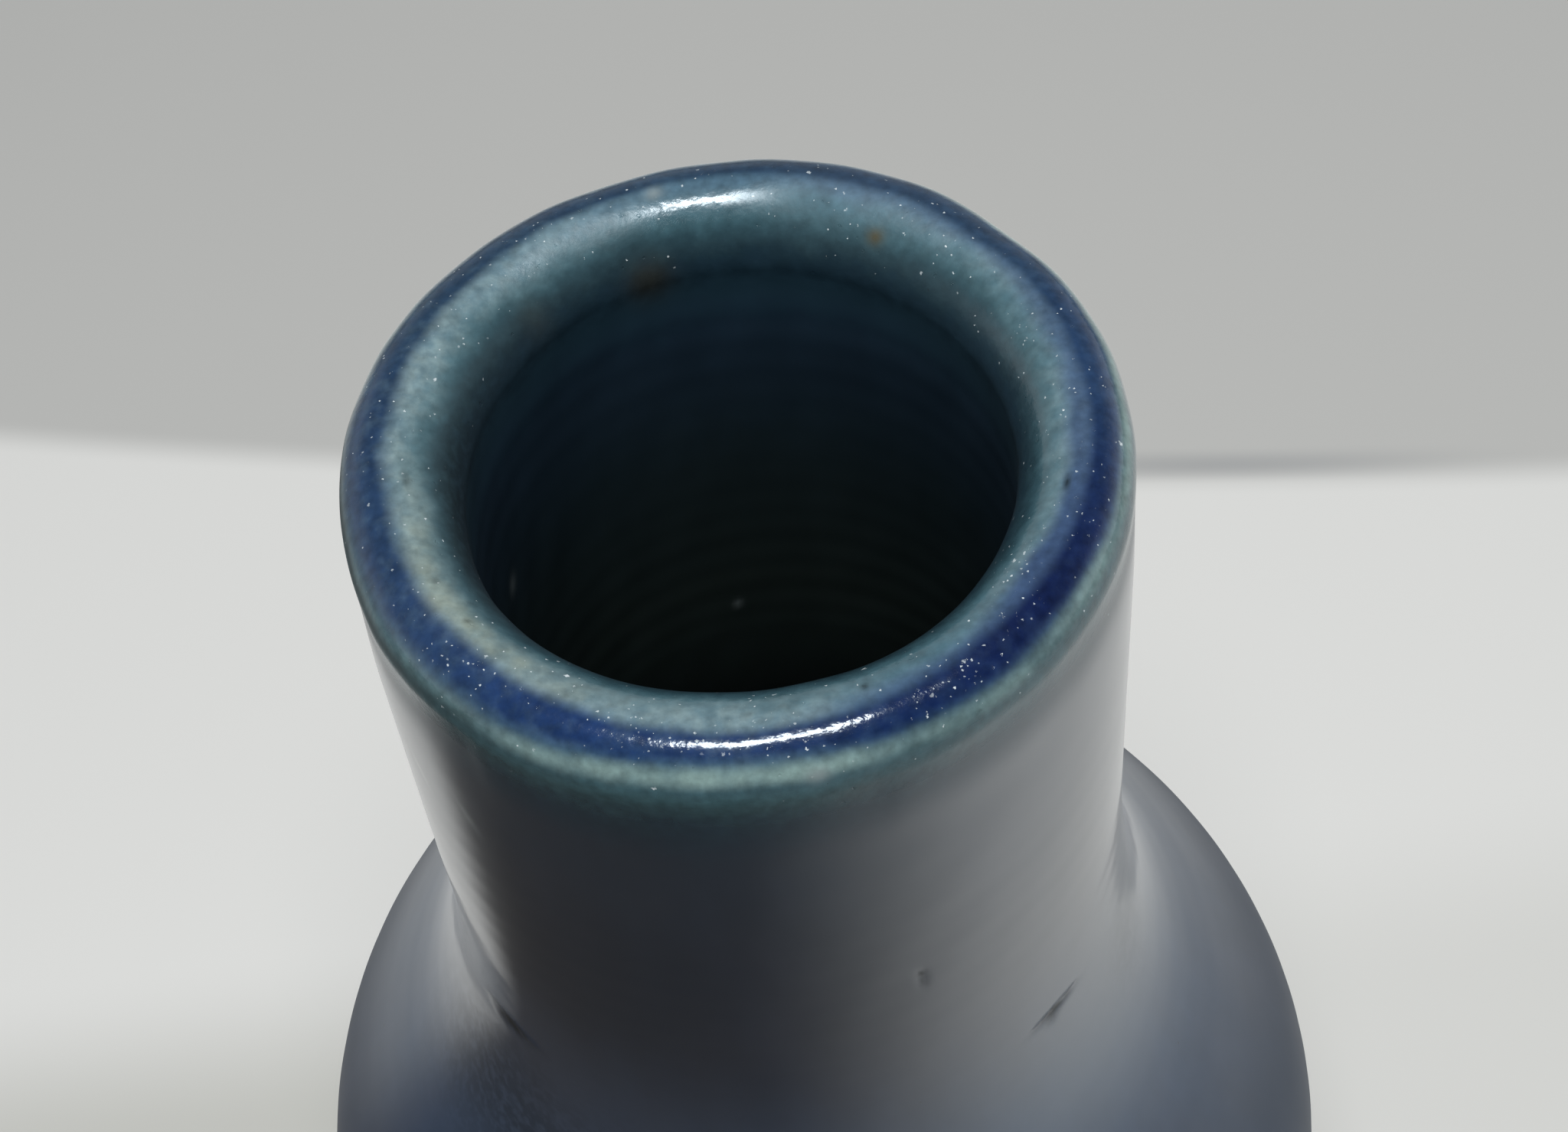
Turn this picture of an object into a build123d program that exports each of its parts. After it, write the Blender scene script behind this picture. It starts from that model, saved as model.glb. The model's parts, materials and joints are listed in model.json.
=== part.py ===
"""A thick-walled glazed jar: paste sections luted with slip under outer, lip and inner glaze coats."""

import os
from math import asin, atan2, cos, degrees, radians, sin, tan

from build123d import *

# Finished form, over the glaze, in millimetres; depths are measured down from the crest of the lip
jar_height = 122.0
rim_radius = 18.1
neck_root_radius = 18.05
neck_root_depth = 33.8
neck_sweep = 31.2
belly_radius = 31.6
belly_depth = 72.0
base_radius = 19.5

# Mouth, lip and inside
mouth_radius = 12.6
lip_outer_round = 2.4
belly_wall = 5.0
floor_thickness = 6.5
floor_radius = 16.0
floor_round = 7.0

# Glaze coats
glaze = 0.5
lip_coat_depth = 3.6
bare_band = 2.5

# Luted joints, with a tongue on the lower section inside a skirt on the upper one
slip = 0.4
lap = 4.0
lip_joint_depth = 12.0
neck_joint_depth = 34.5
belly_joint_rise = 1.5

# Foot ring
foot_height = 4.5
foot_width = 5.0
foot_inset = 0.8
foot_draft = 8.0
foot_edge_round = 0.9

# Heights and radii that follow from the sizes above
lip_inner_round = rim_radius - mouth_radius - lip_outer_round
lip_outer_z = jar_height - lip_outer_round
lip_inner_z = jar_height - lip_inner_round
neck_root_z = jar_height - neck_root_depth
neck_taper = atan2(neck_root_radius - rim_radius, lip_outer_z - neck_root_z)
rim_top = (rim_radius, lip_outer_z)
neck_root = (neck_root_radius, neck_root_z)
bore_top = (mouth_radius, lip_inner_z)
bore_end = (mouth_radius, neck_root_z)
belly_z = jar_height - belly_depth
base_z = foot_height + slip
floor_z = base_z + floor_thickness
inner_belly_radius = belly_radius - belly_wall
inner_neck_sweep = neck_sweep + neck_root_radius - mouth_radius
beyond_wall = 2 * belly_radius


def lower_arc_radius(belly, end_radius, end_z):
    """Radius of the arc that leaves the belly upright and comes in to end_radius at end_z."""
    run = belly - end_radius
    drop = belly_z - end_z
    return (run**2 + drop**2) / (2 * run)


outer_lower = lower_arc_radius(belly_radius, base_radius, base_z)
inner_lower = lower_arc_radius(inner_belly_radius, floor_radius, floor_z)

# The round between inner wall and floor touches both
corner_z = floor_z + floor_round
corner_turn = asin((belly_z - corner_z) / (inner_lower - floor_round))
corner_x = inner_belly_radius - inner_lower + (inner_lower - floor_round) * cos(corner_turn)


def upper_side(top, root, taper, sweep, belly, offset):
    """Draw one face of the upper wall, from the lip down: neck line, hollow sweep, shoulder arc.

    offset moves the line outward along its own normal, so a coat keeps one thickness.
    Returns the point at the top of the neck line.
    """
    normal = Vector(cos(taper), sin(taper))
    sweep_center = Vector(*root) + normal * sweep
    reach = sweep_center.X - belly
    rise = sweep_center.Y - belly_z
    shoulder = (reach**2 + rise**2 - sweep**2) / (2 * (sweep - reach))
    turn = asin(rise / (sweep + shoulder))
    start = Vector(*top) + normal * offset
    Line(start, Vector(*root) + normal * offset)
    CenterArc(sweep_center, sweep - offset, 180 + degrees(taper), degrees(turn - taper))
    CenterArc((belly - shoulder, belly_z), shoulder + offset, degrees(turn), -degrees(turn))
    return start


def wall_section(inset):
    """Half section of floor, wall and lip, with every glazed face set back by inset."""
    outer_radius = outer_lower - inset
    inner_radius = inner_lower + inset
    base_turn = asin((belly_z - base_z) / outer_radius)
    base_edge = belly_radius - outer_lower + outer_radius * cos(base_turn)
    crest = Vector(rim_radius - lip_outer_round, jar_height - inset)
    with BuildSketch() as section:
        with BuildLine():
            outside = upper_side(rim_top, neck_root, neck_taper, neck_sweep, belly_radius, -inset)
            inside = upper_side(bore_top, bore_end, 0, inner_neck_sweep, inner_belly_radius, inset)
            TangentArc(inside, crest, tangent=(0, 1))
            TangentArc(crest, outside, tangent=(1, 0))
            CenterArc((belly_radius - outer_lower, belly_z), outer_radius, 0, -degrees(base_turn))
            CenterArc((inner_belly_radius - inner_lower, belly_z), inner_radius, 0, -degrees(corner_turn))
            CenterArc((corner_x, corner_z), floor_round + inset, -90, 90 - degrees(corner_turn))
            Polyline((corner_x, floor_z - inset), (0, floor_z - inset), (0, base_z), (base_edge, base_z))
        make_face()
    return section.sketch


def joint_line(height, tongue_radius, film=0.0):
    """Points of a rebated joint from the axis outward, raised and widened by the slip film."""
    tongue = tongue_radius + film
    foot = height + film
    head = height + lap + film
    return [(0, head), (tongue, head), (tongue, foot), (beyond_wall, foot)]


def level_line(height):
    """Points of a level cut from the axis outward."""
    return [(0, height), (beyond_wall, height)]


def zone(lower, upper):
    """Area between two lines, to keep one part of a section."""
    with BuildSketch() as area:
        with BuildLine():
            Polyline(*lower, *reversed(upper), close=True)
        make_face()
    return area.sketch


# Joint places, each as the line under the slip film and the line over it
lip_tongue_radius = (rim_radius + mouth_radius) / 2
neck_tongue_radius = (neck_root_radius + mouth_radius) / 2
belly_tongue_radius = belly_radius - belly_wall / 2
lip_joint_z = jar_height - lip_joint_depth
neck_joint_z = jar_height - neck_joint_depth
belly_joint_z = belly_z + belly_joint_rise
under_lip = joint_line(lip_joint_z, lip_tongue_radius)
over_lip = joint_line(lip_joint_z, lip_tongue_radius, slip)
under_neck = joint_line(neck_joint_z, neck_tongue_radius)
over_neck = joint_line(neck_joint_z, neck_tongue_radius, slip)
under_belly = joint_line(belly_joint_z, belly_tongue_radius)
over_belly = joint_line(belly_joint_z, belly_tongue_radius, slip)
ground = level_line(0)
sky = level_line(2 * jar_height)

paste = wall_section(glaze)
finished = wall_section(0)

# Foot ring: drafted sides, rounded standing edge
foot_outer = base_radius - foot_inset
foot_inner = foot_outer - foot_width
foot_lean = foot_height * tan(radians(foot_draft))
with BuildPart() as foot_ring:
    with BuildSketch(Plane.XZ) as foot_section:
        with BuildLine():
            Polyline(
                (foot_inner, foot_height),
                (foot_inner + foot_lean, 0),
                (foot_outer - foot_lean, 0),
                (foot_outer, foot_height),
                close=True,
            )
        make_face()
        fillet(foot_section.vertices().group_by(Axis.Y)[0], radius=foot_edge_round)
    revolve(axis=Axis.Z)

# Slip film between the foot ring and the floor
with BuildPart() as foot_luting:
    with BuildSketch(Plane.XZ):
        with Locations((foot_inner, foot_height)):
            Rectangle(foot_width, slip, align=Align.MIN)
    revolve(axis=Axis.Z)

# Floor and lower wall
with BuildPart() as lower_body:
    with BuildSketch(Plane.XZ):
        add(paste)
        add(zone(ground, under_belly), mode=Mode.INTERSECT)
    revolve(axis=Axis.Z)

# Slip film in the belly joint
with BuildPart() as belly_luting:
    with BuildSketch(Plane.XZ):
        add(paste)
        add(zone(under_belly, over_belly), mode=Mode.INTERSECT)
    revolve(axis=Axis.Z)

# Shoulder
with BuildPart() as upper_body:
    with BuildSketch(Plane.XZ):
        add(paste)
        add(zone(over_belly, under_neck), mode=Mode.INTERSECT)
    revolve(axis=Axis.Z)

# Slip film in the neck joint
with BuildPart() as neck_luting:
    with BuildSketch(Plane.XZ):
        add(paste)
        add(zone(under_neck, over_neck), mode=Mode.INTERSECT)
    revolve(axis=Axis.Z)

# Neck tube
with BuildPart() as neck:
    with BuildSketch(Plane.XZ):
        add(paste)
        add(zone(over_neck, under_lip), mode=Mode.INTERSECT)
    revolve(axis=Axis.Z)

# Slip film in the lip joint
with BuildPart() as lip_luting:
    with BuildSketch(Plane.XZ):
        add(paste)
        add(zone(under_lip, over_lip), mode=Mode.INTERSECT)
    revolve(axis=Axis.Z)

# Rounded lip
with BuildPart() as lip:
    with BuildSketch(Plane.XZ):
        add(paste)
        add(zone(over_lip, sky), mode=Mode.INTERSECT)
    revolve(axis=Axis.Z)

# Glaze coats: the finished section less the paste
coat_edge = level_line(jar_height - lip_coat_depth)
bare_edge = level_line(base_z + bare_band)

# Coat over the lip, down both its sides
with BuildPart() as lip_glaze:
    with BuildSketch(Plane.XZ):
        add(finished)
        add(paste, mode=Mode.SUBTRACT)
        add(zone(coat_edge, sky), mode=Mode.INTERSECT)
    revolve(axis=Axis.Z)

# Coat on neck, shoulder and belly, ending above the bare foot
with BuildPart() as outer_glaze:
    with BuildSketch(Plane.XZ) as outer_coat:
        add(finished)
        add(paste, mode=Mode.SUBTRACT)
        add(zone(bare_edge, coat_edge), mode=Mode.INTERSECT)
        add(outer_coat.faces().sort_by(Axis.X)[-1], mode=Mode.REPLACE)
    revolve(axis=Axis.Z)

# Coat inside neck, belly and floor
with BuildPart() as inner_glaze:
    with BuildSketch(Plane.XZ) as inner_coat:
        add(finished)
        add(paste, mode=Mode.SUBTRACT)
        add(zone(ground, coat_edge), mode=Mode.INTERSECT)
        add(inner_coat.faces().sort_by(Axis.X)[0], mode=Mode.REPLACE)
    revolve(axis=Axis.Z)

pieces = {
    "foot_ring": foot_ring,
    "foot_luting": foot_luting,
    "lower_body": lower_body,
    "belly_luting": belly_luting,
    "upper_body": upper_body,
    "neck_luting": neck_luting,
    "neck": neck,
    "lip_luting": lip_luting,
    "lip": lip,
    "outer_glaze": outer_glaze,
    "lip_glaze": lip_glaze,
    "inner_glaze": inner_glaze,
}

os.makedirs("parts", exist_ok=True)
for name, piece in pieces.items():
    piece.part.label = name
    export_step(piece.part, f"parts/{name}.step")
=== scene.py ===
"""Dress the faience jar: hand-made glaze coats over its paste body, with floor, light and camera."""

from __future__ import annotations

import cmath
import json
import logging
import math
from dataclasses import dataclass
from enum import Enum

import bpy
import numpy as np
from mathutils import Matrix, Vector


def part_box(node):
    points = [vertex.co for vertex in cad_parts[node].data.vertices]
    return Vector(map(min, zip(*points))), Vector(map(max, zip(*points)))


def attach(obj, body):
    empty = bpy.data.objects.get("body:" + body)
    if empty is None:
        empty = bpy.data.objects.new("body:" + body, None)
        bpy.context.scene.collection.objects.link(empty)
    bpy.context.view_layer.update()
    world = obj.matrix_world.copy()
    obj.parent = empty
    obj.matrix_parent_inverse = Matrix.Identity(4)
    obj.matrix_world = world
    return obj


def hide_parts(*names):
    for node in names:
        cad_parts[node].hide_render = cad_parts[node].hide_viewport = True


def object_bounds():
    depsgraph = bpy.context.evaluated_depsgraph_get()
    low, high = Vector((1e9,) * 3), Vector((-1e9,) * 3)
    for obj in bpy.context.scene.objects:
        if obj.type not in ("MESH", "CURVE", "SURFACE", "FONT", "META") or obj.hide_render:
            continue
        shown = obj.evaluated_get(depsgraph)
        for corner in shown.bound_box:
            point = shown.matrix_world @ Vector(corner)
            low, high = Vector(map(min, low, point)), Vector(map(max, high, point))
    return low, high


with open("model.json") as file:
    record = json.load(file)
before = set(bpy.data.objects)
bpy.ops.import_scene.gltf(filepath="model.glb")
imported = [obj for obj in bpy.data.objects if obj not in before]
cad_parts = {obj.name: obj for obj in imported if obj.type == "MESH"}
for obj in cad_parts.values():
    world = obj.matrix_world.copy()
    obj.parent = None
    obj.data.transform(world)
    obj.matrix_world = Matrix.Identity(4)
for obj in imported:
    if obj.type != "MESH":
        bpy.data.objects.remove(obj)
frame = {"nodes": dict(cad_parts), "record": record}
cad_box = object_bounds()

MM = 0.001
FULL_TURN = 2 * math.pi
BODY = "root"

# The Mix node's sockets for colours
MIX_COLOURS = (6, 7)
MIX_RESULT = 2

log = logging.getLogger("faience_jar")

Array = np.ndarray
Socket = bpy.types.NodeSocket
Rgb = tuple[int, int, int]


def linear(rgb: Rgb) -> tuple[float, float, float, float]:
    """Turn a display colour into the linear one that shaders take.

    Args:
        rgb: red, green and blue from 0 to 255, as they look on a screen.

    Returns:
        Linear red, green, blue and an alpha of 1.
    """
    parts = [c / 255 for c in rgb]
    flat = [c / 12.92 if c <= 0.04045 else ((c + 0.055) / 1.055) ** 2.4 for c in parts]
    return (*flat, 1.0)


def smooth_step(value: Array, low: float, high: float) -> Array:
    """Rise smoothly from 0 at low to 1 at high, or fall where low is above high."""
    t = np.clip((value - low) / (high - low), 0, 1)
    return t * t * (3 - 2 * t)


def bell(*away: Array) -> Array:
    """Soft bump that is 1 in its middle, from distances away from it in half widths."""
    return np.exp(-0.5 * sum(a**2 for a in away))


def add_object(name: str, data: bpy.types.ID) -> bpy.types.Object:
    """Put a new object into the scene.

    Args:
        name: the object's name.
        data: its mesh, lamp or camera.

    Returns:
        The object.
    """
    made = bpy.data.objects.new(name, data)
    bpy.context.scene.collection.objects.link(made)
    return made


class Face(Enum):
    """Which way a curved stretch of the wall looks, seen from the centre of its curve."""

    AWAY = 1.0
    TOWARDS = -1.0


class Coat(Enum):
    """The three glaze coats, by the CAD node that each stands for."""

    OUTER = "outer_glaze"
    LIP = "lip_glaze"
    INNER = "inner_glaze"


class Mark(Enum):
    """Vertex values that the glaze recipe reads from a coat's mesh."""

    RUN = "run"
    POOL = "cobalt_pool"
    BLUE = "cobalt_blue"
    DEPTH = "cobalt_depth"
    HAZE = "violet_haze"
    PALE = "pale_edge"
    ARRIS = "pale_arris"
    RIM = "beyond_cobalt"
    # where the painted glints crowd
    CROWD = "speck_crowd"
    DULL = "dull_patch"
    CREAM = "cream"
    IRON = "iron"
    # dark spots in the glaze, and painted shade
    SOOT_AND_SHADE = "soot_and_shade"
    # creases, carved into the coat and darkened with painted shade
    CREASE = "crease"
    # pale spots and scratches, and painted light
    CHALK_AND_SHEEN = "chalk_and_sheen"


@dataclass(frozen=True)
class Arc:
    """Round stretch of a profile about a centre, in millimetres and radians.

    Points of a profile are complex numbers: the radius, and the level as imaginary part.
    """

    center: complex
    radius: float
    start: float
    end: float
    face: Face

    @property
    def length(self) -> float:
        """Distance along the arc."""
        return self.radius * abs(self.end - self.start)

    def at(self, travel: Array) -> tuple[Array, Array]:
        """Points at distances from the arc's start, and the normals there."""
        spoke = np.exp(1j * (self.start + (self.end - self.start) * travel / self.length))
        return self.center + self.radius * spoke, self.face.value * spoke


@dataclass(frozen=True)
class Straight:
    """Straight stretch of a profile, whose glazed face is on the left hand or the right."""

    start: complex
    end: complex
    left: bool

    @property
    def length(self) -> float:
        """Distance along the line."""
        return abs(self.end - self.start)

    def at(self, travel: Array) -> tuple[Array, Array]:
        """Points at distances from the line's start, and the normals there."""
        along = (self.end - self.start) / self.length
        return self.start + along * travel, np.full(travel.shape, along * (1j if self.left else -1j))


@dataclass(frozen=True)
class Profile:
    """One face of the wall as a chain of stretches from the crest of the lip, in millimetres."""

    stretches: tuple[Arc | Straight, ...]
    ease_start: tuple[float, float] = (18.0, 30.0)
    ease_end: tuple[float, float] = (3.0, 20.0)
    ease_samples: int = 9
    search_points: int = 40001
    slack: float = 1e-9

    @property
    def length(self) -> float:
        """Distance from the crest to the end of the face."""
        return sum(s.length for s in self.stretches)

    def at(self, travel: Array) -> tuple[Array, Array]:
        """Find points along the face.

        Args:
            travel: distances from the crest.

        Returns:
            The points, and the normals there.
        """
        point, normal = np.zeros((2, *travel.shape), complex)
        begin = 0.0
        for stretch in self.stretches:
            inside = travel >= begin - self.slack
            local = np.minimum(travel[inside] - begin, stretch.length)
            point[inside], normal[inside] = stretch.at(local)
            begin += stretch.length
        return point, normal

    def eased(self, travel: Array, reach: float) -> tuple[Array, Array]:
        """Find points along the face, with the joins of the body's stretches eased into each other.

        Args:
            travel: distances from the crest.
            reach: how far each way a join is eased.

        Returns:
            The points, and the normals there.
        """
        to_end = self.length - travel
        span = reach * smooth_step(travel, *self.ease_start) * smooth_step(to_end, *self.ease_end)
        near = [self.at(travel + share * span) for share in np.linspace(-1, 1, self.ease_samples)]
        point, normal = (sum(parts) / len(parts) for parts in zip(*near))
        return point, normal / np.abs(normal)

    def travel_to(self, level: float) -> float:
        """Distance from the crest to the first point that is as low as level."""
        travel = np.linspace(0, self.length, self.search_points)
        return float(travel[np.argmax(self.at(travel)[0].imag <= level)])


@dataclass(frozen=True)
class JarForm:
    """Finished form of the jar over its glaze, in millimetres; depths are from the crest."""

    height: float
    rim_radius: float
    mouth_radius: float
    belly_radius: float
    foot_height: float
    neck_root_radius: float = 18.05
    neck_root_depth: float = 33.8
    neck_sweep: float = 31.2
    belly_depth: float = 72.0
    base_radius: float = 19.5
    lip_round: float = 2.4
    belly_wall: float = 5.0
    floor_thickness: float = 6.5
    floor_radius: float = 16.0
    floor_round: float = 7.0
    glaze: float = 0.5
    lip_coat_depth: float = 3.6
    bare_band: float = 2.5

    @classmethod
    def from_frame(cls) -> JarForm:
        """Take height, rim, mouth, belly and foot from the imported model."""
        mouth = next(m for m in frame["record"]["mounts"] if m["name"] == "mouth")
        return cls(
            height=cad_box[1].z / MM,
            rim_radius=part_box(Coat.LIP.value)[1].x / MM,
            mouth_radius=mouth["dims"]["r_mm"],
            belly_radius=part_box(Coat.OUTER.value)[1].x / MM,
            foot_height=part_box("foot_luting")[1].z / MM,
        )

    @property
    def crest_radius(self) -> float:
        """Radius of the lip's highest line."""
        return self.rim_radius - self.lip_round

    @property
    def belly_level(self) -> float:
        """Height of the widest line."""
        return self.height - self.belly_depth

    @property
    def root_level(self) -> float:
        """Height at which the straight neck ends."""
        return self.height - self.neck_root_depth

    def upper_side(
        self, top: complex, root: float, sweep: float, belly: float, outer: bool
    ) -> tuple[Arc | Straight, ...]:
        """Draw neck line, hollow sweep and shoulder arc of one face.

        Args:
            top: where the neck line starts.
            root: radius where the neck line ends.
            sweep: radius of the hollow curve at the neck's root.
            belly: radius of the widest line on this face.
            outer: True for the outside of the wall.

        Returns:
            The three stretches, from the lip down.
        """
        lean = math.atan2(root - top.real, top.imag - self.root_level)
        neck_end = complex(root, self.root_level)
        center = neck_end + cmath.rect(sweep, lean)
        reach = center.real - belly
        rise = center.imag - self.belly_level
        shoulder = (reach**2 + rise**2 - sweep**2) / (2 * (sweep - reach))
        turn = math.asin(rise / (sweep + shoulder))
        hollow, crown = (Face.TOWARDS, Face.AWAY) if outer else (Face.AWAY, Face.TOWARDS)
        return (
            Straight(top, neck_end, left=outer),
            Arc(center, sweep, math.pi + lean, math.pi + turn, hollow),
            Arc(complex(belly - shoulder, self.belly_level), shoulder, turn, 0.0, crown),
        )

    def outer_profile(self) -> Profile:
        """Draw the outside of the wall, from the crest down to the foot.

        Returns:
            The chain of stretches.
        """
        rim = complex(self.rim_radius, self.height - self.lip_round)
        run = self.belly_radius - self.base_radius
        drop = self.belly_level - self.foot_height
        lower = (run**2 + drop**2) / (2 * run)
        center = complex(self.belly_radius - lower, self.belly_level)
        return Profile((
            Arc(rim - self.lip_round, self.lip_round, math.pi / 2, 0.0, Face.AWAY),
            *self.upper_side(rim, self.neck_root_radius, self.neck_sweep, self.belly_radius, outer=True),
            Arc(center, lower, 0.0, -math.asin(drop / lower), Face.AWAY),
        ))

    def inner_profile(self) -> Profile:
        """Draw the inside of the wall, from the crest down the bore to the middle of the floor.

        Returns:
            The chain of stretches.
        """
        lip_round = self.crest_radius - self.mouth_radius
        bore_top = complex(self.mouth_radius, self.height - lip_round)
        sweep = self.neck_sweep + self.neck_root_radius - self.mouth_radius
        belly = self.belly_radius - self.belly_wall
        floor_level = self.foot_height + self.floor_thickness
        run = belly - self.floor_radius
        drop = self.belly_level - floor_level
        lower = (run**2 + drop**2) / (2 * run)
        corner_level = floor_level + self.floor_round
        turn = math.asin((self.belly_level - corner_level) / (lower - self.floor_round))
        corner = belly - lower + (lower - self.floor_round) * math.cos(turn)
        return Profile((
            Arc(bore_top + lip_round, lip_round, math.pi / 2, math.pi, Face.AWAY),
            *self.upper_side(bore_top, self.mouth_radius, sweep, belly, outer=False),
            Arc(complex(belly - lower, self.belly_level), lower, 0.0, -turn, Face.TOWARDS),
            Arc(complex(corner, corner_level), self.floor_round, -turn, -math.pi / 2, Face.TOWARDS),
            Straight(complex(corner, floor_level), complex(0.0, floor_level), left=False),
        ))


@dataclass(frozen=True)
class Places:
    """Points on the wall's faces, with angles in radians and lengths in millimetres.

    The run is the distance along the face from the crest, and is negative inside the mouth.
    """

    azimuth: Array
    run: Array
    radius: Array
    level: Array

    def turned_from(self, degrees: float) -> Array:
        """Signed angle from an azimuth, in radians, the short way round."""
        return (self.azimuth - math.radians(degrees) + math.pi) % FULL_TURN - math.pi


@dataclass(frozen=True)
class Wave:
    """One round-the-jar ripple: how many lobes, how large, where, and how it leans with height."""

    lobes: int
    size: float
    phase: float
    lean: float = 0.0

    def at(self, places: Places) -> Array:
        """Size of the ripple at these places, in millimetres."""
        turn = places.azimuth - math.radians(self.phase)
        return self.size * np.cos(self.lobes * turn + self.lean * places.level)


@dataclass(frozen=True)
class Dent:
    """Soft hollow in a face, or a swelling if its depth is negative, by azimuth, run and half spreads."""

    azimuth: float
    run: float
    half_turn: float
    half_run: float
    depth: float

    def at(self, places: Places) -> Array:
        """Depth of the hollow at these places, in millimetres."""
        across = np.degrees(places.turned_from(self.azimuth)) / self.half_turn
        return self.depth * bell(across, (places.run - self.run) / self.half_run)


@dataclass(frozen=True)
class RoundCurve:
    """Value that drifts round the jar between knots, each an azimuth in degrees and its value."""

    knots: tuple[tuple[float, float], ...]
    spread: float = 13.0
    least_share: float = 1e-12

    def at(self, places: Places) -> Array:
        """Find the soft average of the nearest knots.

        Args:
            places: points of a coat.

        Returns:
            The value there.
        """
        near = [(bell(np.degrees(places.turned_from(place)) / self.spread), v) for place, v in self.knots]
        total = sum(share for share, _ in near) + self.least_share
        return sum(share * value for share, value in near) / total


@dataclass(frozen=True)
class Stain:
    """Small mark or patch on a coat, by azimuth and run, with its half sizes in millimetres and its
    strength.
    """

    azimuth: float
    run: float
    half_across: float
    half_along: float
    strength: float
    slant: float = 0.0

    def at(self, places: Places) -> Array:
        """Find how strong the mark is.

        Args:
            places: points of a coat.

        Returns:
            From 0 to the mark's own strength.
        """
        away = places.turned_from(self.azimuth) * places.radius + 1j * (places.run - self.run)
        away = away * cmath.rect(1, -math.radians(self.slant))
        return self.strength * bell(away.real / self.half_across, away.imag / self.half_along)


# Small marks on the jar, patches of painted shade and painted light, and dull patches, by what the glaze
# recipe reads them as
STAINS: dict[Mark, tuple[Stain, ...]] = {
    Mark.IRON: (
        Stain(54.5, -2.1, 0.30, 0.28, 0.75),
        Stain(103.5, -4.5, 0.8, 0.9, 0.35),
        Stain(131, -3.2, 0.6, 0.9, 0.12),
    ),
    # Dark spots in the glaze, and broad painted shade: in the throat of the bore on the left, on the
    # shoulder at the left, and on both sides of the neck's root
    Mark.SOOT_AND_SHADE: (
        Stain(103, -4.8, 0.7, 0.8, 0.45),
        Stain(-19.5, -0.56, 0.30, 0.13, 0.9),
        Stain(180, -0.94, 0.28, 0.16, 0.6),
        Stain(-73.8, -0.88, 0.13, 0.12, 0.9),
        Stain(-93, -0.82, 0.10, 0.10, 0.6),
        Stain(-157, -0.92, 0.15, 0.13, 0.6),
        Stain(-146.5, -0.92, 0.15, 0.13, 0.6),
        Stain(180, -3.5, 6.0, 0.95, 0.55),
        Stain(-148, 45.0, 8.0, 4.5, 0.55),
        Stain(-19, 40.5, 2.4, 3.2, 0.3),
        Stain(-160, 39.5, 2.4, 2.4, 0.2),
    ),
    # Creases and a dash on the neck, carved into the coat and darkened with painted shade
    Mark.CREASE: (
        Stain(-72, 22.7, 0.16, 0.27, 0.95),
        Stain(-71.6, 23.4, 0.11, 0.34, 0.5),
        Stain(-45.5, 36.3, 1.05, 0.26, 0.95, slant=2),
        Stain(-46.5, 36.9, 0.32, 0.28, 0.5),
        Stain(-148.5, 36.5, 1.3, 0.42, 1.0, slant=-10),
    ),
    # Pale spots and scratches in the glaze, and a broad pale patch at the right of the neck's root that is
    # painted light
    Mark.CHALK_AND_SHEEN: (
        Stain(98, -0.2, 0.30, 0.25, 0.7),
        Stain(-84.5, 2.5, 0.35, 0.25, 0.7),
        Stain(161.5, -16.3, 0.30, 0.40, 0.5),
        Stain(94, -32.5, 0.18, 0.25, 0.4),
        Stain(-30, 42.0, 8.0, 5.0, 0.15),
        Stain(-154.5, 13.3, 0.22, 0.60, 0.5, slant=-30),
        Stain(-141.8, 12.4, 0.22, 0.70, 0.6, slant=-30),
    ),
    Mark.DULL: (
        Stain(52, -1.0, 4.2, 1.6, 0.32),
        Stain(68, -1.0, 2.0, 1.4, 0.3),
        Stain(122, -1.0, 3.0, 1.4, 0.22),
        Stain(108, -1.3, 1.5, 0.8, 0.2),
        Stain(-150, -0.8, 3.0, 1.4, 0.2),
        Stain(180, -3.3, 7.0, 1.2, 0.5),
        Stain(-176, 2.4, 5.0, 1.1, 0.3),
    ),
    # Where the painted glints crowd on the lip
    Mark.CROWD: (
        Stain(-66.5, 0.95, 0.55, 0.40, 0.9),
        Stain(-57.5, 1.15, 0.60, 0.40, 0.8),
        Stain(-57, 0.0, 0.80, 0.50, 0.25),
        Stain(-113, 0.1, 0.80, 0.60, 0.7),
        Stain(-104, 0.6, 1.20, 0.40, 0.7),
        Stain(-90, 0.9, 2.00, 0.40, 0.35),
        Stain(-45, 0.7, 1.00, 0.50, 0.3),
        Stain(-27, 0.9, 0.60, 0.45, 0.6),
        Stain(-36, -1.1, 1.20, 0.50, 0.45),
        Stain(-4, -1.4, 0.50, 0.40, 0.5),
        Stain(0, 0.8, 0.40, 0.30, 0.5),
        Stain(13.5, -1.7, 0.60, 0.40, 0.6),
        Stain(-140, 0.6, 2.50, 0.70, 0.15),
    ),
}


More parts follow.
